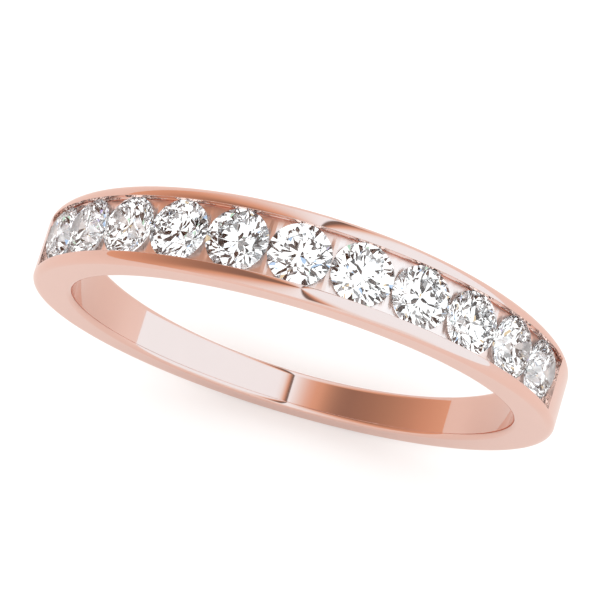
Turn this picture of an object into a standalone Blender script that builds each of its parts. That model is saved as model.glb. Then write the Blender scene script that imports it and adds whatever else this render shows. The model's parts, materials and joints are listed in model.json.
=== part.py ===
"""Channel-set wedding band: a rose gold hoop with a row of round brilliants along its top.

Units are metres. The band stands upright: the finger goes through it along Y, the stones are at
the top (+Z), and the origin is where the bottom of the shank touches the surface it stands on.
"""
import math

import bmesh
import bpy
from mathutils import Vector

MM = 0.001

# Driving dimensions
BORE_RADIUS = 8.675 * MM
OUTER_RADIUS = 10.26 * MM
WIDTH_TOP = 3.35 * MM
WIDTH_BOTTOM = 1.40 * MM
BORE_BEVEL = 0.13 * MM
EDGE_DROP_TOP = 0.33 * MM
EDGE_DROP_BOTTOM = 0.27 * MM
CHANNEL_WIDTH_TOP = 2.26 * MM
CHANNEL_WIDTH_END = 2.02 * MM
CHANNEL_LIP_BEVEL = 0.03 * MM
SEAM = 0.02 * MM

STONE_COUNT = 11
STONE_DIAMETER = 2.34 * MM
STONE_GAP = 0.02 * MM
GIRDLE_RADIUS = 9.93 * MM
GIRDLE_THICKNESS = 0.03
TABLE_WIDTH = 0.57
CROWN_ANGLE = math.radians(34.5)
PAVILION_ANGLE = math.radians(40.8)
STAR_LENGTH = 0.50
LOWER_HALF_LENGTH = 0.77
MAIN_FACETS = 8
GIRDLE_STEPS = 2
STONE_TWIST = math.radians(17.0)

GROOVE_CLEARANCE = 0.025 * MM
GROOVE_PLAY = 0.05 * MM
FLOOR_RADIUS = 9.84 * MM
SEAT_CLEARANCE = 0.03 * MM
SEAT_SIDES = 24
WINDOW_RADIUS = 0.45 * MM
CUTTER_MARGIN = 0.06 * MM
MERGE_DISTANCE = 0.001 * MM

SECTION_STEP = math.radians(3.0)
ROUND_STEPS = 5
SHARP_ANGLE = math.radians(30.0)
FLAT_ANGLE = math.radians(0.2)

ROSE_GOLD = (0.80, 0.47, 0.36)
ROSE_GOLD_ROUGHNESS = 0.06
DIAMOND = (0.95, 0.96, 0.98)

# Sizes that follow from the driving ones
STONE_RADIUS = STONE_DIAMETER / 2
HALF_GIRDLE = GIRDLE_THICKNESS * STONE_DIAMETER / 2
STONE_PITCH = 2 * math.atan((STONE_RADIUS + STONE_GAP / 2) / GIRDLE_RADIUS)
END_STONE_ANGLE = STONE_PITCH * (STONE_COUNT - 1) / 2
CHANNEL_END = END_STONE_ANGLE + math.atan((STONE_RADIUS + STONE_GAP) / GIRDLE_RADIUS)
GROOVE_HALF_WIDTH = STONE_RADIUS + GROOVE_CLEARANCE
MAIN_TURN = 2 * math.pi / MAIN_FACETS
SEAM_TURN = SEAM / OUTER_RADIUS
CENTRE_HEIGHT = OUTER_RADIUS


def half_width(angle, radius):
    """Half the band's width. It grows evenly with height, so each side of the band is one flat face."""
    height = CENTRE_HEIGHT + radius * math.cos(angle)
    return (WIDTH_BOTTOM + (WIDTH_TOP - WIDTH_BOTTOM) * height / (2 * OUTER_RADIUS)) / 2


def channel_half_width(angle):
    """Half the distance between the two channel walls."""
    along = (1 - math.cos(angle)) / (1 - math.cos(CHANNEL_END))
    return (CHANNEL_WIDTH_TOP + (CHANNEL_WIDTH_END - CHANNEL_WIDTH_TOP) * along) / 2


def edge_drop(angle):
    """How far the rounded outer edge comes down from the crest to the flat side."""
    share = (1 - math.cos(angle)) / 2
    return EDGE_DROP_TOP + (EDGE_DROP_BOTTOM - EDGE_DROP_TOP) * share


def rail_crest_width(angle):
    """How far in from the side the rounded edge of a rail reaches: all the way to the channel's lip."""
    return half_width(angle, OUTER_RADIUS) - channel_half_width(angle) - CHANNEL_LIP_BEVEL


def edge_run(angle):
    """How far in from the side the rounded outer edge reaches. Past the channel it tapers to its drop."""
    if math.cos(angle) >= math.cos(CHANNEL_END):
        return rail_crest_width(angle)
    share = (math.cos(CHANNEL_END) - math.cos(angle)) / (math.cos(CHANNEL_END) + 1)
    widest = rail_crest_width(CHANNEL_END)
    return widest + (EDGE_DROP_BOTTOM - widest) * share


def ring_point(angle, radius, across):
    """A point of the band: angle from the top, distance from the finger's axis, place across the band."""
    return Vector((radius * math.sin(angle), across, CENTRE_HEIGHT + radius * math.cos(angle)))


def outside_corner(angle):
    """The profile of one side, from the bore round to the crest, as (across, radius) pairs.

    The edge is a quarter of an ellipse: run wide, drop deep, and smooth into the side and the crest.
    """
    corner = [
        (half_width(angle, BORE_RADIUS) - BORE_BEVEL, BORE_RADIUS),
        (half_width(angle, BORE_RADIUS + BORE_BEVEL), BORE_RADIUS + BORE_BEVEL),
    ]
    drop = edge_drop(angle)
    run = edge_run(angle)
    tip = half_width(angle, OUTER_RADIUS)
    foot = half_width(angle, OUTER_RADIUS - drop)
    for step in range(ROUND_STEPS + 1):
        turn = math.pi / 2 * step / ROUND_STEPS
        to_foot = 1 - math.sin(turn)
        across = tip + (foot - tip) * to_foot - run * (1 - math.cos(turn))
        corner.append((across, OUTER_RADIUS - drop * to_foot))
    return corner


def shank_profile(angle):
    """Closed section of the plain band."""
    corner = outside_corner(angle)
    front = [(-across, radius) for across, radius in corner]
    return front + corner[::-1]


def front_rail_profile(angle):
    """Closed section of the near channel wall, with the groove that holds the stones' girdles."""
    wall = channel_half_width(angle)
    depth = GROOVE_HALF_WIDTH - wall
    groove_top = GIRDLE_RADIUS + HALF_GIRDLE + GROOVE_CLEARANCE
    groove_bottom = GIRDLE_RADIUS - HALF_GIRDLE - GROOVE_PLAY
    corner = [(-across, radius) for across, radius in outside_corner(angle)]
    inner = [
        (-wall, OUTER_RADIUS - CHANNEL_LIP_BEVEL),
        (-wall, groove_top + depth * math.tan(CROWN_ANGLE)),
        (-GROOVE_HALF_WIDTH, groove_top),
        (-GROOVE_HALF_WIDTH, groove_bottom),
        (-wall, groove_bottom - depth * math.tan(PAVILION_ANGLE)),
        (-wall, BORE_RADIUS),
    ]
    return corner + inner


def rear_rail_profile(angle):
    """The far channel wall's section, the near one's mirror image."""
    return [(-across, radius) for across, radius in reversed(front_rail_profile(angle))]


def floor_profile(angle):
    """Closed section of the strip between the channel walls."""
    edge = channel_half_width(angle) - SEAM
    return [
        (-edge, BORE_RADIUS),
        (-edge, FLOOR_RADIUS),
        (edge, FLOOR_RADIUS),
        (edge, BORE_RADIUS),
    ]


def angles_between(start, end):
    """Evenly spaced section angles, both ends included."""
    count = math.ceil((end - start) / SECTION_STEP)
    return [start + (end - start) * step / count for step in range(count + 1)]


def make_material(name, colour, roughness, metallic):
    """A plain coloured finish for one kind of material."""
    material = bpy.data.materials.new(name)
    material.use_nodes = True
    shader = material.node_tree.nodes["Principled BSDF"]
    shader.inputs["Base Color"].default_value = (*colour, 1.0)
    shader.inputs["Roughness"].default_value = roughness
    shader.inputs["Metallic"].default_value = metallic
    material.diffuse_color = (*colour, 1.0)
    return material


def add_object(name, bm, collection, material=None):
    """Wrap a bmesh as a named object with its faces pointing out."""
    bmesh.ops.recalc_face_normals(bm, faces=bm.faces)
    mesh = bpy.data.meshes.new(name)
    bm.to_mesh(mesh)
    bm.free()
    piece = bpy.data.objects.new(name, mesh)
    collection.objects.link(piece)
    if material:
        mesh.materials.append(material)
    return piece


def loft_along_band(name, profile, start, end, collection, material):
    """Sweep a section that changes with the angle along part of the band, and close both ends."""
    bm = bmesh.new()
    rows = []
    for angle in angles_between(start, end):
        row = [bm.verts.new(ring_point(angle, radius, across)) for across, radius in profile(angle)]
        rows.append(row)
    for row, following in zip(rows, rows[1:]):
        for index in range(len(row)):
            after = (index + 1) % len(row)
            bm.faces.new((row[index], row[after], following[after], following[index]))
    bm.faces.new(rows[0])
    bm.faces.new(rows[-1])
    piece = add_object(name, bm, collection, material)
    piece.data.shade_smooth()
    piece.data.set_sharp_from_angle(angle=SHARP_ANGLE)
    return piece


def polar(azimuth, radius, height):
    """A point of a stone: turn about its own axis, distance from it, height over the girdle's middle."""
    return Vector((radius * math.cos(azimuth), radius * math.sin(azimuth), height))


def height_on_plane(corners, azimuth, radius):
    """Height at which an upright line meets the plane through three corners."""
    first, second, third = corners
    normal = (second - first).cross(third - first)
    foot = polar(azimuth, radius, 0)
    return first.z - (normal.x * (foot.x - first.x) + normal.y * (foot.y - first.y)) / normal.z


def half_facet_corners(azimuth, side, inner_radius, slope):
    """Corners of a half facet: on the girdle at a main facet and beside it, and its inner tip.

    side is +1 above the girdle and -1 below it. The tip lies where two neighbouring mains meet.
    """
    beside = azimuth + MAIN_TURN / 2
    fall = (STONE_RADIUS - inner_radius * math.cos(MAIN_TURN / 2)) * math.tan(slope)
    return (
        polar(azimuth, STONE_RADIUS, side * HALF_GIRDLE),
        polar(beside, STONE_RADIUS, side * HALF_GIRDLE),
        polar(beside, inner_radius, side * (HALF_GIRDLE + fall)),
    )


def brilliant_corners():
    """Every corner of a round brilliant: table, star tips, wavy girdle, lower tips and culet."""
    table_radius = STONE_RADIUS * TABLE_WIDTH
    table_height = HALF_GIRDLE + (STONE_RADIUS - table_radius) * math.tan(CROWN_ANGLE)
    table_flat = table_radius * math.cos(MAIN_TURN / 2)
    star_radius = table_flat + (STONE_RADIUS - table_flat) * STAR_LENGTH
    lower_radius = STONE_RADIUS * (1 - LOWER_HALF_LENGTH)
    halves = ((1, star_radius, CROWN_ANGLE), (-1, lower_radius, PAVILION_ANGLE))
    corners = [Vector((0, 0, -HALF_GIRDLE - STONE_RADIUS * math.tan(PAVILION_ANGLE)))]
    for main in range(MAIN_FACETS):
        azimuth = main * MAIN_TURN
        corners.append(polar(azimuth, table_radius, table_height))
        for side, inner_radius, slope in halves:
            half = half_facet_corners(azimuth, side, inner_radius, slope)
            corners.extend(half)
            for step in range(1, GIRDLE_STEPS):
                turn = MAIN_TURN / 2 * step / GIRDLE_STEPS
                height = height_on_plane(half, azimuth + turn, STONE_RADIUS)
                corners.append(polar(azimuth + turn, STONE_RADIUS, height))
                corners.append(polar(azimuth - turn, STONE_RADIUS, height))
    return corners


def make_brilliant(material):
    """The mesh that all the stones share, cut round a middle at its girdle with the table up."""
    bm = bmesh.new()
    for corner in brilliant_corners():
        bm.verts.new(corner / MM)
    bmesh.ops.convex_hull(bm, input=bm.verts)
    bmesh.ops.dissolve_limit(bm, angle_limit=FLAT_ANGLE, verts=bm.verts, edges=bm.edges)
    bmesh.ops.scale(bm, vec=(MM, MM, MM), verts=bm.verts)
    bmesh.ops.recalc_face_normals(bm, faces=bm.faces)
    mesh = bpy.data.meshes.new("round_brilliant")
    bm.to_mesh(mesh)
    bm.free()
    mesh.materials.append(material)
    return mesh


def place_on_band(piece, angle, twist=0.0):
    """Put a piece on the stones' circle, its own Z pointing out, turned about that axis by twist."""
    piece.rotation_mode = "ZYX"
    piece.rotation_euler = (0, angle, twist)
    piece.location = ring_point(angle, GIRDLE_RADIUS, 0)


def stone_angles():
    """Where the stones sit, evenly spaced about the top."""
    return [STONE_PITCH * (index - (STONE_COUNT - 1) / 2) for index in range(STONE_COUNT)]


def make_stones(collection, material):
    """Set the row of stones, each turned a little further than the one before it."""
    mesh = make_brilliant(material)
    for number, angle in enumerate(stone_angles(), start=1):
        stone = bpy.data.objects.new(f"diamond_{number:02d}", mesh)
        collection.objects.link(stone)
        place_on_band(stone, angle, twist=number * STONE_TWIST)


def make_seat_cutter(name, angle, collection):
    """A turned cutter: the cone a stone's point sits in, and the window from there into the bore."""
    top = FLOOR_RADIUS + CUTTER_MARGIN - GIRDLE_RADIUS
    slope = math.tan(PAVILION_ANGLE)
    widest = STONE_RADIUS + SEAT_CLEARANCE + (top + HALF_GIRDLE) / slope
    window_top = top - (widest - WINDOW_RADIUS) * slope
    bottom = BORE_RADIUS - CUTTER_MARGIN - GIRDLE_RADIUS
    outline = [(0, top), (widest, top), (WINDOW_RADIUS, window_top), (WINDOW_RADIUS, bottom), (0, bottom)]
    bm = bmesh.new()
    points = [bm.verts.new((radius, 0, height)) for radius, height in outline]
    for upper, lower in zip(points, points[1:]):
        bm.edges.new((upper, lower))
    mesh = bpy.data.meshes.new(name)
    bm.to_mesh(mesh)
    bm.free()
    cutter = bpy.data.objects.new(name, mesh)
    collection.objects.link(cutter)
    turning = cutter.modifiers.new("turned", "SCREW")
    turning.axis = "Z"
    turning.steps = SEAT_SIDES
    turning.render_steps = SEAT_SIDES
    turning.use_merge_vertices = True
    turning.merge_threshold = MERGE_DISTANCE
    cutter.display_type = "WIRE"
    cutter.hide_render = True
    place_on_band(cutter, angle)


def make_floor(collection, cutters, material):
    """The strip between the rails, with a seat and a window cut under every stone."""
    end = CHANNEL_END - SEAM_TURN
    floor = loft_along_band("channel_floor", floor_profile, -end, end, collection, material)
    for number, angle in enumerate(stone_angles(), start=1):
        make_seat_cutter(f"seat_cutter_{number:02d}", angle, cutters)
    seats = floor.modifiers.new("seats", "BOOLEAN")
    seats.operation = "DIFFERENCE"
    seats.operand_type = "COLLECTION"
    seats.collection = cutters


def main():
    """Build the whole band."""
    for item in list(bpy.data.objects):
        bpy.data.objects.remove(item)
    band = bpy.data.collections.new("wedding_band")
    cutters = bpy.data.collections.new("cutters")
    bpy.context.scene.collection.children.link(band)
    bpy.context.scene.collection.children.link(cutters)
    gold = make_material("rose_gold", ROSE_GOLD, roughness=ROSE_GOLD_ROUGHNESS, metallic=1.0)
    diamond = make_material("diamond", DIAMOND, roughness=0.0, metallic=0.0)

    end = CHANNEL_END - SEAM_TURN
    loft_along_band("shank", shank_profile, CHANNEL_END, 2 * math.pi - CHANNEL_END, band, gold)
    for name, profile in (("front_rail", front_rail_profile), ("rear_rail", rear_rail_profile)):
        loft_along_band(name, profile, -end, end, band, gold)
    make_floor(band, cutters, gold)
    make_stones(band, diamond)


main()
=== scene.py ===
"""Rose gold wedding band with a channel of round brilliants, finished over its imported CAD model.

Units are metres. The band stands upright on the floor, the finger goes through it along Y, and the
stones are at the top. Angles along the band are measured from the top, growing towards +X.
"""
import json
import math

import bmesh
import bpy
from mathutils import Matrix, Vector

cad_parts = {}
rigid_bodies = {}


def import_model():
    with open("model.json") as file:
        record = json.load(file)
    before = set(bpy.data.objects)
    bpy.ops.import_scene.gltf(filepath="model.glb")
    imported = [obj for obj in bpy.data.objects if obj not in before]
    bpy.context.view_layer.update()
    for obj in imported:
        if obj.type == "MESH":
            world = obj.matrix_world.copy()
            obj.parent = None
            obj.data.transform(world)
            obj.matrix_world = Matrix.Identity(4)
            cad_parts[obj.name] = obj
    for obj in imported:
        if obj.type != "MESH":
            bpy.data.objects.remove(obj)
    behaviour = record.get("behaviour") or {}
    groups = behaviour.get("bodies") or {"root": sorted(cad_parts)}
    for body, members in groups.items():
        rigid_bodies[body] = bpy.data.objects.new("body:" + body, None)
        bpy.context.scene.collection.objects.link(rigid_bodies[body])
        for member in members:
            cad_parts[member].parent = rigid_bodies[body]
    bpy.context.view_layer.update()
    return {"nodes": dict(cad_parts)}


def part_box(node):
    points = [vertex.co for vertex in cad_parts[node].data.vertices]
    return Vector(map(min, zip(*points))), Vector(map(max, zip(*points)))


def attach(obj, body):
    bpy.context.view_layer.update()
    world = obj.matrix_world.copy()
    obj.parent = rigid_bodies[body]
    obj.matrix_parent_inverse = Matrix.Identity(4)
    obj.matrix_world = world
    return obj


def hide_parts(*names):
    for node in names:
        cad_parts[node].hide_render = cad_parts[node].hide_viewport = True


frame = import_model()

bl_info = {
    "name": "Channel Set Wedding Band",
    "version": (1, 0, 0),
    "blender": (4, 5, 0),
    "location": "View3D > Sidebar > Wedding Band",
    "description": "Makes the polished band, its stones and the stage they are shown on",
    "category": "Mesh",
}

MM = 0.001

SHANK_LOW, SHANK_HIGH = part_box("shank")
OUTER_RADIUS = (SHANK_HIGH.x - SHANK_LOW.x) / 2
STONE_NODES = sorted(name for name in frame["nodes"] if name.startswith("diamond_"))

BEVEL_SOFTNESS = 0.085 * MM
LIP_ROUND = 0.03 * MM
LIP_FLAT = 0.01 * MM
GROOVE_ROUND = 0.008 * MM
GROOVE_CLEARANCE = 0.025 * MM
GROOVE_PLAY = 0.05 * MM
BEVEL_STEPS = 8
EDGE_STEPS = 20
LIP_STEPS = 5
GROOVE_STEPS = 2
GIRDLE_SHARE = 0.03
MAIN_FACETS = 8
GIRDLE_STEPS = 6
STAR_LENGTH = 0.50
LOWER_HALF_LENGTH = 0.77
STONE_TWIST = math.radians(17.0)
SEAT_CLEARANCE = 0.03 * MM
SEAT_SIDES = 64
WINDOW_RADIUS = 0.45 * MM
CUTTER_MARGIN = 0.06 * MM
FINE_STEP = math.radians(0.75)
HAIR_ANGLE = math.radians(0.01)
SHARP_ANGLE = math.radians(30)
FLAT_ANGLE = math.radians(0.2)
WALL_FACING = 0.9
GIRDLE_FACING = 0.05

SOFT_DETAIL = 2.0
GRAIN_DETAIL = 3.0
FINE_DETAIL = 4.0
DIAMOND_IOR = 2.417
STONE_SHEEN = (0.50, 0.36, 0.31)
MARKS_PER_METRE = 30000
MARK_STRETCH = 0.04
MARK_DEPTH = 0.0005 * MM
CLOUDS_PER_METRE = 900
BROAD_GRAIN = 0.1
GIRDLE_GRAINS_PER_METRE = 40000
FLOOR_GRAINS_PER_METRE = 4000
GOLD_DEPTH = 0.03
STONE_DEPTH = 0.02
GIRDLE_DEPTH = 0.15
GIRDLE_FROST = 0.3
FLOOR_DEPTH = 0.004
FLOOR_GLOSS = 0.25
STUDIO_RADIUS = 2.0
STUDIO_SIDES = 96
SENSOR_WIDTH = 36.0
NEAREST = 5 * MM
FARTHEST = 10.0
# Near white painted on gold seen through a stone: a painted highlight
PAINTED_GLINT_UNDER_STONE = (0.98, 0.98, 0.99)

GOLD_TINT = (0.83, 0.58, 0.50)
ROOM_LIGHT = 1.4
# Share of the floor's colour painted into its reflection in polished metal, a painted reflection: darker
# than the eye sees, and warmer
FLOOR_PAINTED_IN_METAL = (0.777, 0.70, 0.673)
LIGHT_BOUNCES = 24
CARD_SCALE = 6.5
# Where each of these starts and is complete, as shares of 180 degrees
CARD_EDGE = (47 / 180, 25 / 180)
WINDOW_TOP = (30 / 180, 14 / 180)
WINDOW_START = (88 / 180, 91 / 180)
WINDOW_END = (142 / 180, 120 / 180)
# The same for the near side, as a share of the distance that way
WINDOW_SIDE = (0.0, -0.05)
WINDOW_COLOUR = (234, 206, 196)
# What the stones gather light from: share of the cards up to which each grey goes, and that grey
SPARKLE_GREYS = ((0.0, 0.004), (0.17, 0.05), (0.25, 0.35), (0.33, 1.45))
# The same for the few coloured cards
FIRE_COLOURS = (
    (0.0, (0.48, 0.68, 0.95)),
    (0.35, (0.80, 0.60, 0.36)),
    (0.6, (0.60, 0.50, 0.88)),
    (0.85, (0.55, 0.82, 0.62)),
)
FIRE_SHARE = 0.06
# Degrees round from the dark card, and the colour that polished gold shows there
SOFTBOX_STOPS = (
    (0, (205, 140, 110)),
    (40, (206, 141, 111)),
    (50, (216, 150, 121)),
    (60, (224, 168, 146)),
    (70, (230, 191, 177)),
    (80, (236, 211, 203)),
    (88, (243, 226, 222)),
    (90.8, (243, 228, 225)),
    (92.0, (118, 90, 79)),
    (94.5, (120, 91, 79)),
    (97.5, (185, 126, 102)),
    (100.5, (223, 163, 138)),
    (104, (231, 194, 180)),
    (108, (237, 216, 209)),
    (116, (241, 228, 226)),
    (180, (241, 230, 228)),
)
# Degrees above the horizon on the dark card, and the colour that polished gold shows there
CARD_STOPS = (
    (0, (218, 149, 118)),
    (15, (203, 136, 107)),
    (25, (188, 126, 99)),
    (35, (173, 117, 92)),
    (45, (160, 108, 86)),
    (55, (150, 102, 83)),
    (65, (141, 98, 81)),
    (90, (135, 95, 79)),
)


# ---------------------------------------------------------------- settings


class BandSizes(bpy.types.PropertyGroup):
    """Sizes of the metal."""

    bore_radius: bpy.props.FloatProperty(
        name="Bore Radius",
        description="From the finger's axis to the inside of the band",
        default=8.675 * MM,
        unit="LENGTH",
    )
    width_top: bpy.props.FloatProperty(
        name="Width at the Top",
        description="Width of the band over the stones",
        default=3.35 * MM,
        unit="LENGTH",
    )
    width_bottom: bpy.props.FloatProperty(
        name="Width at the Bottom",
        description="Width of the band at the palm side",
        default=1.40 * MM,
        unit="LENGTH",
    )
    bore_bevel: bpy.props.FloatProperty(
        name="Bore Bevel",
        description="Bevel between the bore and each side",
        default=0.13 * MM,
        unit="LENGTH",
    )
    edge_drop_top: bpy.props.FloatProperty(
        name="Edge Drop at the Top",
        description="How far the rounded edge comes down beside the stones",
        default=0.33 * MM,
        unit="LENGTH",
    )
    edge_drop_bottom: bpy.props.FloatProperty(
        name="Edge Drop at the Bottom",
        description="How far the rounded edge comes down at the palm side",
        default=0.27 * MM,
        unit="LENGTH",
    )
    channel_width_top: bpy.props.FloatProperty(
        name="Channel Width at the Top",
        description="Gap between the rails in the middle of the row",
        default=2.26 * MM,
        unit="LENGTH",
    )
    channel_width_end: bpy.props.FloatProperty(
        name="Channel Width at the Ends",
        description="Gap between the rails at the last stones",
        default=2.02 * MM,
        unit="LENGTH",
    )
    floor_radius: bpy.props.FloatProperty(
        name="Channel Floor Radius",
        description="From the finger's axis to the top of the strip that the stones are bedded in",
        default=9.84 * MM,
        unit="LENGTH",
    )


class StoneSizes(bpy.types.PropertyGroup):
    """Sizes and proportions of the brilliants."""

    diameter: bpy.props.FloatProperty(
        name="Diameter", description="Girdle diameter of each stone", default=2.34 * MM, unit="LENGTH"
    )
    gap: bpy.props.FloatProperty(
        name="Gap", description="Space between two stones", default=0.02 * MM, unit="LENGTH"
    )
    girdle_radius: bpy.props.FloatProperty(
        name="Girdle Radius",
        description="From the finger's axis to the stones' girdles",
        default=9.93 * MM,
        unit="LENGTH",
    )
    table: bpy.props.FloatProperty(
        name="Table",
        description="Table width as a share of the diameter",
        default=0.57,
        subtype="FACTOR",
    )
    crown: bpy.props.FloatProperty(
        name="Crown Angle",
        description="Slope of the main facets above the girdle",
        default=math.radians(34.5),
        subtype="ANGLE",
    )
    pavilion: bpy.props.FloatProperty(
        name="Pavilion Angle",
        description="Slope of the main facets below the girdle",
        default=math.radians(40.8),
        subtype="ANGLE",
    )


class FinishColours(bpy.types.PropertyGroup):
    """Colours of the metal, the stones and the floor."""

    gold: bpy.props.FloatVectorProperty(
        name="Gold",
        description="Colour of the polished metal",
        default=(0.845, 0.59, 0.51),
        subtype="COLOR",
    )
    seat_gold: bpy.props.FloatVectorProperty(
        name="Seat Gold",
        description="Colour of the metal between the stones",
        default=(0.95, 0.72, 0.64),
        subtype="COLOR",
    )
    stone: bpy.props.FloatVectorProperty(
        name="Stone", description="Colour of the stones", default=(1.0, 1.0, 1.0), subtype="COLOR"
    )
    girdle: bpy.props.FloatVectorProperty(
        name="Girdle",
        description="Colour of the stones' frosted edges",
        default=(0.26, 0.26, 0.27),
        subtype="COLOR",
    )
    floor: bpy.props.FloatVectorProperty(
        name="Floor", description="Colour of the floor", default=(0.92, 0.915, 0.91), subtype="COLOR"
    )


class StageSettings(bpy.types.PropertyGroup):
    """Camera and surroundings."""

    azimuth: bpy.props.FloatProperty(
        name="Azimuth",
        description="How far the camera stands round to the right",
        default=math.radians(16.363),
        subtype="ANGLE",
    )
    elevation: bpy.props.FloatProperty(
        name="Elevation",
        description="How far the camera looks down",
        default=math.radians(73.63),
        subtype="ANGLE",
    )
    distance: bpy.props.FloatProperty(
        name="Distance",
        description="From the camera to the point it looks at",
        default=150 * MM,
        unit="LENGTH",
    )
    aim_height: bpy.props.FloatProperty(
        name="Aim Height",
        description="Height over the middle of the bore that the camera looks at",
        default=4.2286 * MM,
        unit="LENGTH",
    )
    aim_side: bpy.props.FloatProperty(
        name="Aim Sideways",
        description="How far to the right of the middle the camera looks",
        default=0.0098 * MM,
        unit="LENGTH",
    )
    lens: bpy.props.FloatProperty(
        name="Lens", description="Focal length on a 36 mm sensor, in millimetres", default=243.77
    )


def settings():
    """The sizes of the metal and of the stones."""
    scene = bpy.context.scene
    return scene.band_sizes, scene.stone_sizes


# ---------------------------------------------------------------- the band's form


def ring_point(angle, radius, across):
    """A point of the band: angle from the top, distance from the finger's axis, place across the band."""
    return Vector((radius * math.sin(angle), across, OUTER_RADIUS + radius * math.cos(angle)))


def half_width(angle, radius):
    """Half the band's width. It grows evenly with height, so each side of the band is one flat face."""
    band, _ = settings()
    share = (OUTER_RADIUS + radius * math.cos(angle)) / (2 * OUTER_RADIUS)
    return (band.width_bottom + (band.width_top - band.width_bottom) * share) / 2


def edge_drop(angle):
    """How far the rounded outer edge comes down from the crest to the flat side."""
    band, _ = settings()
    return band.edge_drop_top + (band.edge_drop_bottom - band.edge_drop_top) * (1 - math.cos(angle)) / 2


def stone_pitch():
    """Angle from one stone to the next."""
    _, stone = settings()
    return 2 * math.atan((stone.diameter + stone.gap) / 2 / stone.girdle_radius)


def stone_angles():
    """Where the stones sit, evenly spaced about the top."""
    middle = (len(STONE_NODES) - 1) / 2
    return [stone_pitch() * (index - middle) for index in range(len(STONE_NODES))]


def channel_end():
    """Angle at which the channel stops and the plain shank begins."""
    _, stone = settings()
    return stone_angles()[-1] + math.atan((stone.diameter / 2 + stone.gap) / stone.girdle_radius)


def channel_half_width(angle):
    """Half the distance between the two channel walls."""
    band, _ = settings()
    along = (1 - math.cos(angle)) / (1 - math.cos(channel_end()))
    return (band.channel_width_top + (band.channel_width_end - band.channel_width_top) * along) / 2


def edge_run(angle):
    """How far the rounded outer edge reaches in. Over the stones it reaches the channel's lip."""
    band, _ = settings()
    end = channel_end()
    along = min(abs(angle), end, 2 * math.pi - abs(angle))
    rail_run = half_width(along, OUTER_RADIUS) - channel_half_width(along) - LIP_ROUND - LIP_FLAT
    if math.cos(angle) >= math.cos(end):
        return rail_run
    share = (math.cos(end) - math.cos(angle)) / (math.cos(end) + 1)
    return rail_run + (band.edge_drop_bottom - rail_run) * share


def outside_corners(angle):
    """The near side's corners from the bore out.

    Each is (across, radius, reach before, reach after, steps): the rounding starts one reach
    before the corner and ends the other reach after it.
    """
    band, _ = settings()
    bore = band.bore_radius
    bevel = band.bore_bevel
    soft = BEVEL_SOFTNESS
    return [
        (bevel - half_width(angle, bore), bore, soft, soft, BEVEL_STEPS),
        (-half_width(angle, bore + bevel), bore + bevel, soft, soft, BEVEL_STEPS),
        (-half_width(angle, OUTER_RADIUS), OUTER_RADIUS, edge_drop(angle), edge_run(angle), EDGE_STEPS),
    ]


def mirrored(corners):
    """The same corners on the other side of the band, in the order that goes on round the section."""
    return [
        (-across, radius, after, before, steps)
        for across, radius, before, after, steps in reversed(corners)
    ]


def shank_corners(angle):
    """The plain band's section."""
    near = outside_corners(angle)
    return near + mirrored(near)


def front_rail_corners(angle):
    """The near rail's section, with the groove that holds the stones' girdles."""
    band, stone = settings()
    wall = channel_half_width(angle)
    groove = stone.diameter / 2 + GROOVE_CLEARANCE
    half_girdle = GIRDLE_SHARE * stone.diameter / 2
    depth = groove - wall
    top = stone.girdle_radius + half_girdle + GROOVE_CLEARANCE
    bottom = stone.girdle_radius - half_girdle - GROOVE_PLAY
    soft = GROOVE_ROUND
    return outside_corners(angle) + [
        (-wall, OUTER_RADIUS, LIP_ROUND, LIP_ROUND, LIP_STEPS),
        (-wall, top + depth * math.tan(stone.crown), soft, soft, GROOVE_STEPS),
        (-groove, top, soft, soft, GROOVE_STEPS),
        (-groove, bottom, soft, soft, GROOVE_STEPS),
        (-wall, bottom - depth * math.tan(stone.pavilion), soft, soft, GROOVE_STEPS),
        (-wall, band.bore_radius, 0, 0, 0),
    ]


def rear_rail_corners(angle):
    """The far rail's section, the near one's mirror image."""
    return mirrored(front_rail_corners(angle))


def seat_strip_corners(angle):
    """The strip between the rails. It fits them without a gap, because the joint is polished away."""
    band, _ = settings()
    near = [
        (-channel_half_width(angle), band.bore_radius, 0, 0, 0),
        (-channel_half_width(angle), band.floor_radius, 0, 0, 0),
    ]
    return near + mirrored(near)


def left_of(direction):
    """Outward normal of a section's edge. Sections are drawn clockwise."""
    return Vector((-direction.y, direction.x)).normalized()


def rounded_section(corners):
    """A closed section as (point, normal of the face before it, normal of the face after it)."""
    section = []
    for index, (across, radius, reach_before, reach_after, steps) in enumerate(corners):
        here = Vector((across, radius))
        before = Vector(corners[index - 1][:2])
        after = Vector(corners[(index + 1) % len(corners)][:2])
        arriving = (here - before).normalized()
        leaving = (after - here).normalized()
        if not steps:
            section.append((here, left_of(arriving), left_of(leaving)))
            continue
        to_start = arriving * -reach_before
        to_end = leaving * reach_after
        for step in range(steps + 1):
            turn = math.pi / 2 * step / steps
            point = here + to_start * (1 - math.sin(turn)) + to_end * (1 - math.cos(turn))
            normal = left_of(to_end * math.sin(turn) - to_start * math.cos(turn))
            section.append((point, normal, normal))
    return section


def section_in_space(corners, angle):
    """A section's points at its place on the band, with its normals still flat."""
    return [
        (ring_point(angle, point.y, point.x), before, after)
        for point, before, after in rounded_section(corners(angle))
    ]


def normal_in_space(flat, angle, sweep):
    """Turn a section's normal into the surface's, square to the direction the section is swept in."""
    outward = Vector((math.sin(angle), 0, math.cos(angle)))
    along_section = Vector((0, flat.y, 0)) - outward * flat.x
    return sweep.cross(along_section).normalized()


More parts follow.
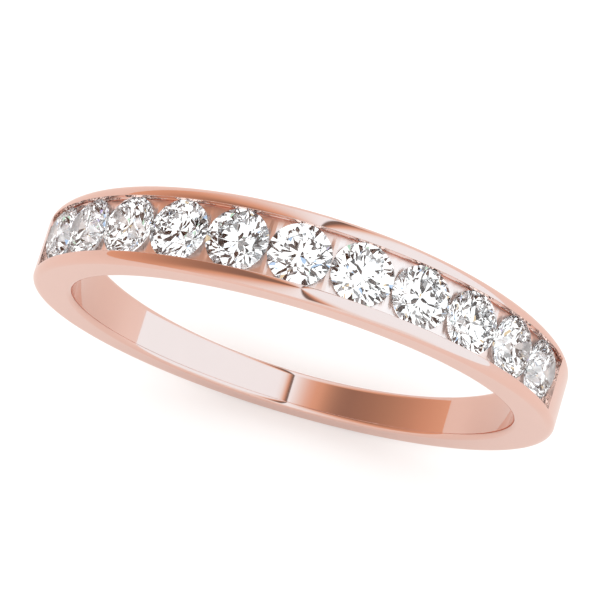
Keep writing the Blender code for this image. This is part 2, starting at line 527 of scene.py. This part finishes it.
def swept_mesh(name, corners, start, end):
    """Sweep a section that changes with the angle, close both ends, and give it exact smooth normals."""
    count = math.ceil((end - start) / FINE_STEP)
    vertices, normals_before, normals_after, ends = [], [], [], []
    for row in range(count + 1):
        angle = start + (end - start) * row / count
        behind = section_in_space(corners, angle - HAIR_ANGLE)
        ahead = section_in_space(corners, angle + HAIR_ANGLE)
        for (point, before, after), back, forth in zip(section_in_space(corners, angle), behind, ahead):
            sweep = (forth[0] - back[0]).normalized()
            vertices.append(point)
            normals_before.append(normal_in_space(before, angle, sweep))
            normals_after.append(normal_in_space(after, angle, sweep))
        ends.append(Vector((math.cos(angle), 0, -math.sin(angle))))
    size = len(vertices) // (count + 1)
    faces, normals = [], []
    for row in range(count):
        for index in range(size):
            here = row * size + index
            beside = row * size + (index + 1) % size
            faces.append((here, here + size, beside + size, beside))
            normals += [normals_after[here], normals_after[here + size]]
            normals += [normals_before[beside + size], normals_before[beside]]
    faces.append(tuple(range(size)))
    normals += [-ends[0]] * size
    faces.append(tuple(reversed(range(count * size, (count + 1) * size))))
    normals += [ends[-1]] * size
    mesh = bpy.data.meshes.new(name)
    mesh.from_pydata(vertices, [], faces)
    mesh.shade_smooth()
    mesh.normals_split_custom_set(normals)
    return mesh


def add_piece(name, mesh, materials, nodes):
    """Link a finished mesh, let it ride on the band, and let it stand for its CAD nodes."""
    piece = bpy.data.objects.new(name, mesh)
    bpy.context.scene.collection.objects.link(piece)
    mesh.materials.clear()
    for material in materials:
        mesh.materials.append(material)
    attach(piece, "root")
    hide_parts(*nodes)
    return piece


# ---------------------------------------------------------------- the stones' form


def polar(azimuth, radius, height):
    """A point of a stone: turn about its own axis, distance from it, height over the girdle's middle."""
    return Vector((radius * math.cos(azimuth), radius * math.sin(azimuth), height))


def height_on_plane(corners, azimuth, radius):
    """Height at which an upright line meets the plane through three corners."""
    first, second, third = corners
    normal = (second - first).cross(third - first)
    foot = polar(azimuth, radius, 0)
    return first.z - (normal.x * (foot.x - first.x) + normal.y * (foot.y - first.y)) / normal.z


def brilliant_corners():
    """Every corner of a round brilliant: table, star tips, wavy girdle, lower tips and culet."""
    _, stone = settings()
    radius = stone.diameter / 2
    half_girdle = GIRDLE_SHARE * radius
    half_turn = math.pi / MAIN_FACETS
    table_radius = radius * stone.table
    table_height = half_girdle + (radius - table_radius) * math.tan(stone.crown)
    table_flat = table_radius * math.cos(half_turn)
    star_radius = table_flat + (radius - table_flat) * STAR_LENGTH
    halves = (
        (1, star_radius, stone.crown),
        (-1, radius * (1 - LOWER_HALF_LENGTH), stone.pavilion),
    )
    corners = [Vector((0, 0, -half_girdle - radius * math.tan(stone.pavilion)))]
    for main in range(MAIN_FACETS):
        azimuth = 2 * half_turn * main
        beside = azimuth + half_turn
        corners.append(polar(azimuth, table_radius, table_height))
        for side, inner_radius, slope in halves:
            fall = (radius - inner_radius * math.cos(half_turn)) * math.tan(slope)
            half = (
                polar(azimuth, radius, side * half_girdle),
                polar(beside, radius, side * half_girdle),
                polar(beside, inner_radius, side * (half_girdle + fall)),
            )
            corners.extend(half)
            for step in range(1, GIRDLE_STEPS):
                turn = half_turn * step / GIRDLE_STEPS
                height = height_on_plane(half, azimuth + turn, radius)
                corners.append(polar(azimuth + turn, radius, height))
                corners.append(polar(azimuth - turn, radius, height))
    return corners


def brilliant_mesh():
    """One cut stone, its table up and its girdle's middle at the origin."""
    bm = bmesh.new()
    for corner in brilliant_corners():
        bm.verts.new(corner / MM)
    bmesh.ops.convex_hull(bm, input=bm.verts)
    bmesh.ops.dissolve_limit(bm, angle_limit=FLAT_ANGLE, verts=bm.verts, edges=bm.edges)
    bmesh.ops.scale(bm, vec=(MM, MM, MM), verts=bm.verts)
    bmesh.ops.recalc_face_normals(bm, faces=bm.faces)
    mesh = bpy.data.meshes.new("brilliant")
    bm.to_mesh(mesh)
    bm.free()
    return mesh


def place_on_band(angle, twist=0.0):
    """The matrix that puts a piece on the stones' circle, its own Z pointing out, turned by twist."""
    _, stone = settings()
    place = Matrix.Translation(ring_point(angle, stone.girdle_radius, 0))
    return place @ Matrix.Rotation(angle, 4, "Y") @ Matrix.Rotation(twist, 4, "Z")


def seat_cutter_mesh():
    """A turned cutter: the cone a stone's point sits in, and the window from there into the bore."""
    band, stone = settings()
    slope = math.tan(stone.pavilion)
    top = band.floor_radius + CUTTER_MARGIN - stone.girdle_radius
    widest = stone.diameter / 2 + SEAT_CLEARANCE + (top + GIRDLE_SHARE * stone.diameter / 2) / slope
    window_top = top - (widest - WINDOW_RADIUS) * slope
    bottom = band.bore_radius - CUTTER_MARGIN - stone.girdle_radius
    rings = [(widest, top), (WINDOW_RADIUS, window_top), (WINDOW_RADIUS, bottom)]
    vertices = [
        polar(2 * math.pi * side / SEAT_SIDES, radius, height)
        for radius, height in rings
        for side in range(SEAT_SIDES)
    ]
    faces = [tuple(range(SEAT_SIDES)), tuple(reversed(range(2 * SEAT_SIDES, 3 * SEAT_SIDES)))]
    for ring in range(len(rings) - 1):
        for side in range(SEAT_SIDES):
            here = ring * SEAT_SIDES + side
            beside = ring * SEAT_SIDES + (side + 1) % SEAT_SIDES
            faces.append((here, here + SEAT_SIDES, beside + SEAT_SIDES, beside))
    mesh = bpy.data.meshes.new("seat_cutter")
    mesh.from_pydata(vertices, [], faces)
    return mesh


def seat_strip_mesh():
    """The strip with a seat cut under every stone."""
    end = channel_end()
    blank = bpy.data.objects.new("strip_blank", swept_mesh("strip_blank", seat_strip_corners, -end, end))
    bpy.context.scene.collection.objects.link(blank)
    cutters = bpy.data.collections.new("seat_cutters")
    bpy.context.scene.collection.children.link(cutters)
    cutter_mesh = seat_cutter_mesh()
    for angle in stone_angles():
        cutter = bpy.data.objects.new("seat_cutter", cutter_mesh)
        cutters.objects.link(cutter)
        cutter.matrix_world = place_on_band(angle)
    seats = blank.modifiers.new("seats", "BOOLEAN")
    seats.operation = "DIFFERENCE"
    seats.operand_type = "COLLECTION"
    seats.collection = cutters
    depsgraph = bpy.context.evaluated_depsgraph_get()
    mesh = bpy.data.meshes.new_from_object(blank.evaluated_get(depsgraph))
    for scrap in [blank, *cutters.objects]:
        bpy.data.objects.remove(scrap)
    bpy.data.collections.remove(cutters)
    mesh.shade_smooth()
    mesh.set_sharp_from_angle(angle=SHARP_ANGLE)
    return mesh


# ---------------------------------------------------------------- finishes


def node_group(name, inputs, outputs):
    """A new shader node group with these float inputs and typed outputs, its input and output nodes."""
    tree = bpy.data.node_groups.new(name, "ShaderNodeTree")
    for label, value in inputs.items():
        socket = tree.interface.new_socket(label, in_out="INPUT", socket_type="NodeSocketFloat")
        socket.default_value = value
    for label, kind in outputs.items():
        tree.interface.new_socket(label, in_out="OUTPUT", socket_type=f"NodeSocket{kind}")
    return tree, tree.nodes.new("NodeGroupInput"), tree.nodes.new("NodeGroupOutput")


def noise(tree, vector, scale, detail):
    """Soft noise from 0 to 1. scale is a number of lumps per metre, or a socket holding it."""
    node = tree.nodes.new("ShaderNodeTexNoise")
    tree.links.new(vector, node.inputs["Vector"])
    node.inputs["Detail"].default_value = detail
    if isinstance(scale, (int, float)):
        node.inputs["Scale"].default_value = scale
    else:
        tree.links.new(scale, node.inputs["Scale"])
    return node.outputs[0]


def band_polish_group():
    """Marks that a polishing wheel leaves along the band, and the soft unevenness of polished gold."""
    if "band_polish" in bpy.data.node_groups:
        return bpy.data.node_groups["band_polish"]
    outputs = {"Roughness": "Float", "Height": "Float", "Tone": "Float"}
    tree, given, result = node_group("band_polish", {"Roughness": 0.04, "Unevenness": 0.03}, outputs)
    place = tree.nodes.new("ShaderNodeTexCoord").outputs["Object"]
    split = tree.nodes.new("ShaderNodeSeparateXYZ")
    tree.links.new(place, split.inputs[0])
    east, across, up = split.outputs
    height = math_node(tree, "SUBTRACT", up, OUTER_RADIUS)
    squares = [math_node(tree, "MULTIPLY", value, value) for value in (east, height)]
    radius = math_node(tree, "SQRT", math_node(tree, "ADD", *squares))
    along = math_node(tree, "MULTIPLY", math_node(tree, "ARCTAN2", east, height), OUTER_RADIUS)
    stretched = math_node(tree, "MULTIPLY", along, MARK_STRETCH)
    unrolled = tree.nodes.new("ShaderNodeCombineXYZ")
    for socket, value in zip(unrolled.inputs, (stretched, across, radius)):
        tree.links.new(value, socket)
    marks = noise(tree, unrolled.outputs[0], MARKS_PER_METRE, FINE_DETAIL)
    cloud = noise(tree, place, CLOUDS_PER_METRE, SOFT_DETAIL)
    worn = math_node(tree, "MULTIPLY", marks, cloud)
    uneven = math_node(tree, "MULTIPLY", worn, given.outputs["Unevenness"])
    tree.links.new(math_node(tree, "ADD", given.outputs["Roughness"], uneven), result.inputs["Roughness"])
    tree.links.new(marks, result.inputs["Height"])
    tree.links.new(cloud, result.inputs["Tone"])
    return tree


def fine_grain_group():
    """An even fine grain, for frosted and papery surfaces."""
    if "fine_grain" in bpy.data.node_groups:
        return bpy.data.node_groups["fine_grain"]
    tree, given, result = node_group("fine_grain", {"Scale": 20000.0}, {"Height": "Float", "Tone": "Float"})
    place = tree.nodes.new("ShaderNodeTexCoord").outputs["Object"]
    tree.links.new(noise(tree, place, given.outputs["Scale"], GRAIN_DETAIL), result.inputs["Height"])
    broad = math_node(tree, "MULTIPLY", given.outputs["Scale"], BROAD_GRAIN)
    tree.links.new(noise(tree, place, broad, SOFT_DETAIL), result.inputs["Tone"])
    return tree


def add_group(tree, group, **values):
    """Place a shared group in a material with its own values, and return its outputs."""
    node = tree.nodes.new("ShaderNodeGroup")
    node.node_tree = group
    for label, value in values.items():
        node.inputs[label.replace("_", " ").title()].default_value = value
    return node.outputs


def toned(tree, tone, colour, depth):
    """The colour, a little deeper where tone is high."""
    deeper = tuple(channel * (1 - depth) for channel in colour)
    return mix_colours(tree, tone, tuple(colour), deeper)


def add_bump(tree, shader, height, strength, depth):
    """Let a height stand out from a shader's surface."""
    bump = tree.nodes.new("ShaderNodeBump")
    bump.inputs["Strength"].default_value = strength
    bump.inputs["Distance"].default_value = depth
    tree.links.new(height, bump.inputs["Height"])
    tree.links.new(bump.outputs["Normal"], shader.inputs["Normal"])


def new_material(name, roughness=0.5, metallic=0.0):
    """A fresh material, its node tree and its shader."""
    material = bpy.data.materials.new(name)
    material.use_nodes = True
    shader = material.node_tree.nodes["Principled BSDF"]
    shader.inputs["Roughness"].default_value = roughness
    shader.inputs["Metallic"].default_value = metallic
    return material, material.node_tree, shader


def gold_material(name, colour, roughness, unevenness, mark_strength):
    """Rose gold. Seen through a stone its colour is painted bright and nearly colourless, a painted
    highlight.
    """
    if name in bpy.data.materials:
        return bpy.data.materials[name]
    material, tree, shader = new_material(name, metallic=1.0)
    finish = add_group(tree, band_polish_group(), roughness=roughness, unevenness=unevenness)
    path = tree.nodes.new("ShaderNodeLightPath")
    # Gold seen through a stone gets a painted highlight: its colour turns near white
    through_stone = math_node(tree, "MINIMUM", path.outputs["Transmission Depth"], 1.0)
    tint = mix_colours(tree, through_stone, toned(tree, finish["Tone"], colour, GOLD_DEPTH), PAINTED_GLINT_UNDER_STONE)
    tree.links.new(tint, shader.inputs["Base Color"])
    tree.links.new(finish["Roughness"], shader.inputs["Roughness"])
    add_bump(tree, shader, finish["Height"], mark_strength, MARK_DEPTH)
    return material


def polished_gold():
    """Mirror-bright rose gold for everything that the polishing wheel reaches."""
    colour = bpy.context.scene.finish_colours.gold
    return gold_material("polished_rose_gold", colour, roughness=0.03, unevenness=0.05, mark_strength=0.05)


def seat_gold():
    """Satin rose gold for the channel, where the wheel doesn't reach."""
    colour = bpy.context.scene.finish_colours.seat_gold
    return gold_material("seat_rose_gold", colour, roughness=0.26, unevenness=0.2, mark_strength=0.2)


def diamond():
    """Clear cut stone."""
    if "cut_diamond" in bpy.data.materials:
        return bpy.data.materials["cut_diamond"]
    material, tree, shader = new_material("cut_diamond", roughness=0.0)
    grain = add_group(tree, fine_grain_group(), scale=CLOUDS_PER_METRE)
    colour = bpy.context.scene.finish_colours.stone
    tree.links.new(toned(tree, grain["Tone"], colour, STONE_DEPTH), shader.inputs["Base Color"])
    shader.inputs["IOR"].default_value = DIAMOND_IOR
    shader.inputs["Specular Tint"].default_value = (*STONE_SHEEN, 1)
    shader.inputs["Transmission Weight"].default_value = 1.0
    return material


def frosted_girdle():
    """The ground edge of a stone, left unpolished."""
    if "frosted_girdle" in bpy.data.materials:
        return bpy.data.materials["frosted_girdle"]
    material, tree, shader = new_material("frosted_girdle", roughness=0.6)
    grain = add_group(tree, fine_grain_group(), scale=GIRDLE_GRAINS_PER_METRE)
    colour = bpy.context.scene.finish_colours.girdle
    tree.links.new(toned(tree, grain["Tone"], colour, GIRDLE_DEPTH), shader.inputs["Base Color"])
    add_bump(tree, shader, grain["Height"], GIRDLE_FROST, MARK_DEPTH)
    return material


def white_floor():
    """Matt white paper. In polished metal its reflection is painted darker and warmer."""
    material, tree, shader = new_material("white_floor", roughness=0.55)
    grain = add_group(tree, fine_grain_group(), scale=FLOOR_GRAINS_PER_METRE)
    floor_colour = bpy.context.scene.finish_colours.floor
    painted_floor_reflection = tuple(channel * share for channel, share in zip(floor_colour, FLOOR_PAINTED_IN_METAL))
    # Glossy rays see the floor in a painted reflection colour, darker and warmer than the paper
    path = tree.nodes.new("ShaderNodeLightPath")
    papery = toned(tree, grain["Tone"], floor_colour, FLOOR_DEPTH)
    colour = mix_colours(tree, path.outputs["Is Glossy Ray"], papery, painted_floor_reflection)
    tree.links.new(colour, shader.inputs["Base Color"])
    shader.inputs["Specular IOR Level"].default_value = FLOOR_GLOSS
    return material


# ---------------------------------------------------------------- operators


class BAND_OT_shank(bpy.types.Operator):
    """Make the plain part of the band"""

    bl_idname = "band.shank"
    bl_label = "Make Shank"

    def execute(self, context):
        end = channel_end()
        mesh = swept_mesh("polished_shank", shank_corners, end, 2 * math.pi - end)
        add_piece("polished_shank", mesh, [polished_gold()], ["shank"])
        return {"FINISHED"}


class BAND_OT_rails(bpy.types.Operator):
    """Make the two channel walls"""

    bl_idname = "band.rails"
    bl_label = "Make Rails"

    def execute(self, context):
        end = channel_end()
        for node, corners in (("front_rail", front_rail_corners), ("rear_rail", rear_rail_corners)):
            mesh = swept_mesh(f"polished_{node}", corners, -end, end)
            facing_in = 1 if node == "front_rail" else -1
            for face in mesh.polygons:
                if face.normal.y * facing_in > WALL_FACING:
                    face.material_index = 1
            add_piece(f"polished_{node}", mesh, [polished_gold(), seat_gold()], [node])
        return {"FINISHED"}


class BAND_OT_seats(bpy.types.Operator):
    """Make the strip that the stones are bedded in"""

    bl_idname = "band.seats"
    bl_label = "Make Seat Strip"

    def execute(self, context):
        add_piece("seat_strip", seat_strip_mesh(), [seat_gold()], ["channel_floor"])
        return {"FINISHED"}


class BAND_OT_stones(bpy.types.Operator):
    """Cut and set the brilliants"""

    bl_idname = "band.stones"
    bl_label = "Set Stones"

    def execute(self, context):
        mesh = brilliant_mesh()
        for face in mesh.polygons:
            if abs(face.normal.z) < GIRDLE_FACING:
                face.material_index = 1
        for number, (node, angle) in enumerate(zip(STONE_NODES, stone_angles()), start=1):
            cut = mesh.copy()
            cut.transform(place_on_band(angle, twist=number * STONE_TWIST))
            add_piece(f"brilliant_{number:02d}", cut, [diamond(), frosted_girdle()], [node])
        bpy.data.meshes.remove(mesh)
        return {"FINISHED"}


class BAND_OT_stage(bpy.types.Operator):
    """Set up the floor, the surroundings and the camera"""

    bl_idname = "band.stage"
    bl_label = "Set Up Stage"

    def execute(self, context):
        add_floor()
        add_surroundings()
        add_camera()
        return {"FINISHED"}


def add_floor():
    """A wide white floor under the band."""
    bm = bmesh.new()
    bmesh.ops.create_circle(bm, cap_ends=True, segments=STUDIO_SIDES, radius=STUDIO_RADIUS)
    mesh = bpy.data.meshes.new("studio_floor")
    bm.to_mesh(mesh)
    bm.free()
    floor = bpy.data.objects.new("studio_floor", mesh)
    bpy.context.scene.collection.objects.link(floor)
    mesh.materials.append(white_floor())


def display_colour(red, green, blue):
    """A colour as it is read off a screen, 0 to 255, made linear."""
    linear = []
    for value in (red, green, blue):
        share = value / 255
        linear.append(share / 12.92 if share <= 0.04045 else ((share + 0.055) / 1.055) ** 2.4)
    return linear


def seen_in_gold(red, green, blue):
    """The light that polished rose gold shows as this display colour."""
    return [value / tint for value, tint in zip(display_colour(red, green, blue), GOLD_TINT)]


def add_ramp(tree, value, stops):
    """A smooth ramp. stops are (degrees, colour seen in gold), and value is 1 at 180 degrees."""
    ramp = tree.nodes.new("ShaderNodeValToRGB")
    elements = ramp.color_ramp.elements
    while len(elements) > 1:
        elements.remove(elements[-1])
    for index, (place, colour) in enumerate(stops):
        element = elements[0] if index == 0 else elements.new(place / 180)
        element.position = place / 180
        element.color = (*seen_in_gold(*colour), 1)
    tree.links.new(value, ramp.inputs["Fac"])
    return ramp.outputs["Color"]


def math_node(tree, operation, *values):
    """The result of one sum. Each value is a number or a socket."""
    node = tree.nodes.new("ShaderNodeMath")
    node.operation = operation
    for socket, value in zip(node.inputs, values):
        if isinstance(value, (int, float)):
            socket.default_value = value
        else:
            tree.links.new(value, socket)
    return node.outputs[0]


def fade(tree, value, start, end):
    """0 at start and 1 at end, smooth in between."""
    node = tree.nodes.new("ShaderNodeMapRange")
    node.interpolation_type = "SMOOTHSTEP"
    tree.links.new(value, node.inputs["Value"])
    node.inputs["From Min"].default_value = start
    node.inputs["From Max"].default_value = end
    return node.outputs["Result"]


def mix_colours(tree, factor, first, second):
    """first where the factor is 0, second where it is 1. Each is a colour or a socket."""
    node = tree.nodes.new("ShaderNodeMix")
    node.data_type = "RGBA"
    colour_sockets = [socket for socket in node.inputs if socket.type == "RGBA"]
    for socket, value in zip((node.inputs[0], *colour_sockets), (factor, first, second)):
        if isinstance(value, (tuple, list)):
            socket.default_value = (*value, 1)
        else:
            tree.links.new(value, socket)
    return next(socket for socket in node.outputs if socket.type == "RGBA")


def add_surroundings():
    """A white softbox over the right half of the set and a warm dark card over the left half.

    Polished metal shows them. The floor gathers even white light, and the stones a sparkle of their own.
    """
    world = bpy.data.worlds.new("studio")
    bpy.context.scene.world = world
    world.use_nodes = True
    tree = world.node_tree
    direction = tree.nodes.new("ShaderNodeSeparateXYZ")
    direction_of_view = tree.nodes.new("ShaderNodeTexCoord").outputs["Generated"]
    tree.links.new(direction_of_view, direction.inputs[0])
    east, north, up = direction.outputs
    west = math_node(tree, "MULTIPLY", east, -1.0)
    turn = math_node(tree, "ARCTAN2", math_node(tree, "ABSOLUTE", north), west)
    away = math_node(tree, "DIVIDE", turn, math.pi)
    height = math_node(tree, "DIVIDE", math_node(tree, "ARCSINE", up), math.pi)
    card = add_ramp(tree, height, CARD_STOPS)
    round_about = add_ramp(tree, away, SOFTBOX_STOPS)
    colour = mix_colours(tree, fade(tree, away, *CARD_EDGE), round_about, card)
    window = fade(tree, height, *WINDOW_TOP)
    for value, edge in ((north, WINDOW_SIDE), (away, WINDOW_START), (away, WINDOW_END)):
        window = math_node(tree, "MULTIPLY", window, fade(tree, value, *edge))
    colour = mix_colours(tree, window, colour, seen_in_gold(*WINDOW_COLOUR))
    path = tree.nodes.new("ShaderNodeLightPath")
    colour = mix_colours(tree, path.outputs["Is Glossy Ray"], (ROOM_LIGHT,) * 3, colour)
    through_stone = math_node(tree, "MINIMUM", path.outputs["Transmission Depth"], 1.0)
    colour = mix_colours(tree, through_stone, colour, sparkle(tree, direction_of_view))
    colour = mix_colours(tree, path.outputs["Is Camera Ray"], colour, (1.0, 1.0, 1.0))
    tree.links.new(colour, tree.nodes["Background"].inputs["Color"])
    bpy.context.scene.view_settings.view_transform = "Standard"
    for limit in ("max_bounces", "glossy_bounces", "transmission_bounces"):
        setattr(bpy.context.scene.cycles, limit, LIGHT_BOUNCES)


def stepped_ramp(tree, value, stops):
    """A ramp of flat steps. stops are (place where the step starts, colour)."""
    ramp = tree.nodes.new("ShaderNodeValToRGB")
    ramp.color_ramp.interpolation = "CONSTANT"
    elements = ramp.color_ramp.elements
    while len(elements) < len(stops):
        elements.new(1.0)
    for element, (place, colour) in zip(elements, stops):
        element.position = place
        element.color = (*colour, 1)
    tree.links.new(value, ramp.inputs["Fac"])
    return ramp.outputs["Color"]


def sparkle(tree, direction):
    """What the stones gather light from: a white room broken up by small dark and coloured cards."""
    cards = tree.nodes.new("ShaderNodeTexVoronoi")
    cards.inputs["Scale"].default_value = CARD_SCALE
    tree.links.new(direction, cards.inputs["Vector"])
    pick = tree.nodes.new("ShaderNodeSeparateColor")
    tree.links.new(cards.outputs["Color"], pick.inputs[0])
    choice, tinted, hue = pick.outputs
    greys = stepped_ramp(tree, choice, [(place, (grey,) * 3) for place, grey in SPARKLE_GREYS])
    fire = stepped_ramp(tree, hue, FIRE_COLOURS)
    return mix_colours(tree, math_node(tree, "LESS_THAN", tinted, FIRE_SHARE), greys, fire)


def add_camera():
    """A long lens that looks down on the row of stones."""
    stage = bpy.context.scene.stage_settings
    back = Vector((
        math.sin(stage.azimuth) * math.cos(stage.elevation),
        -math.cos(stage.azimuth) * math.cos(stage.elevation),
        math.sin(stage.elevation),
    ))
    data = bpy.data.cameras.new("camera")
    data.sensor_width = SENSOR_WIDTH
    data.lens = stage.lens
    data.clip_start = NEAREST
    data.clip_end = FARTHEST
    camera = bpy.data.objects.new("camera", data)
    camera.rotation_mode = "QUATERNION"
    camera.rotation_quaternion = back.to_track_quat("Z", "Y")
    aim = Vector((stage.aim_side, 0, OUTER_RADIUS + stage.aim_height))
    camera.location = aim + back * stage.distance
    bpy.context.scene.collection.objects.link(camera)
    bpy.context.scene.camera = camera


class BAND_PT_sidebar(bpy.types.Panel):
    """Buttons for making the band piece by piece"""

    bl_label = "Wedding Band"
    bl_space_type = "VIEW_3D"
    bl_region_type = "UI"
    bl_category = "Wedding Band"

    def draw(self, context):
        scene = context.scene
        for group in GROUPS:
            for name in GROUPS[group].__annotations__:
                self.layout.prop(getattr(scene, group), name)
        for operator in OPERATORS:
            self.layout.operator(operator.bl_idname)


OPERATORS = (BAND_OT_stage, BAND_OT_shank, BAND_OT_rails, BAND_OT_seats, BAND_OT_stones)
GROUPS = {
    "band_sizes": BandSizes,
    "stone_sizes": StoneSizes,
    "finish_colours": FinishColours,
    "stage_settings": StageSettings,
}


def register():
    for name, group in GROUPS.items():
        bpy.utils.register_class(group)
        setattr(bpy.types.Scene, name, bpy.props.PointerProperty(type=group))
    for item in (*OPERATORS, BAND_PT_sidebar):
        bpy.utils.register_class(item)


def unregister():
    for item in (BAND_PT_sidebar, *reversed(OPERATORS)):
        bpy.utils.unregister_class(item)
    for name, group in reversed(GROUPS.items()):
        delattr(bpy.types.Scene, name)
        bpy.utils.unregister_class(group)


def main():
    register()
    bpy.ops.band.stage()
    bpy.ops.band.shank()
    bpy.ops.band.rails()
    bpy.ops.band.seats()
    bpy.ops.band.stones()
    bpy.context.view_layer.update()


if __name__ == "__main__":
    main()
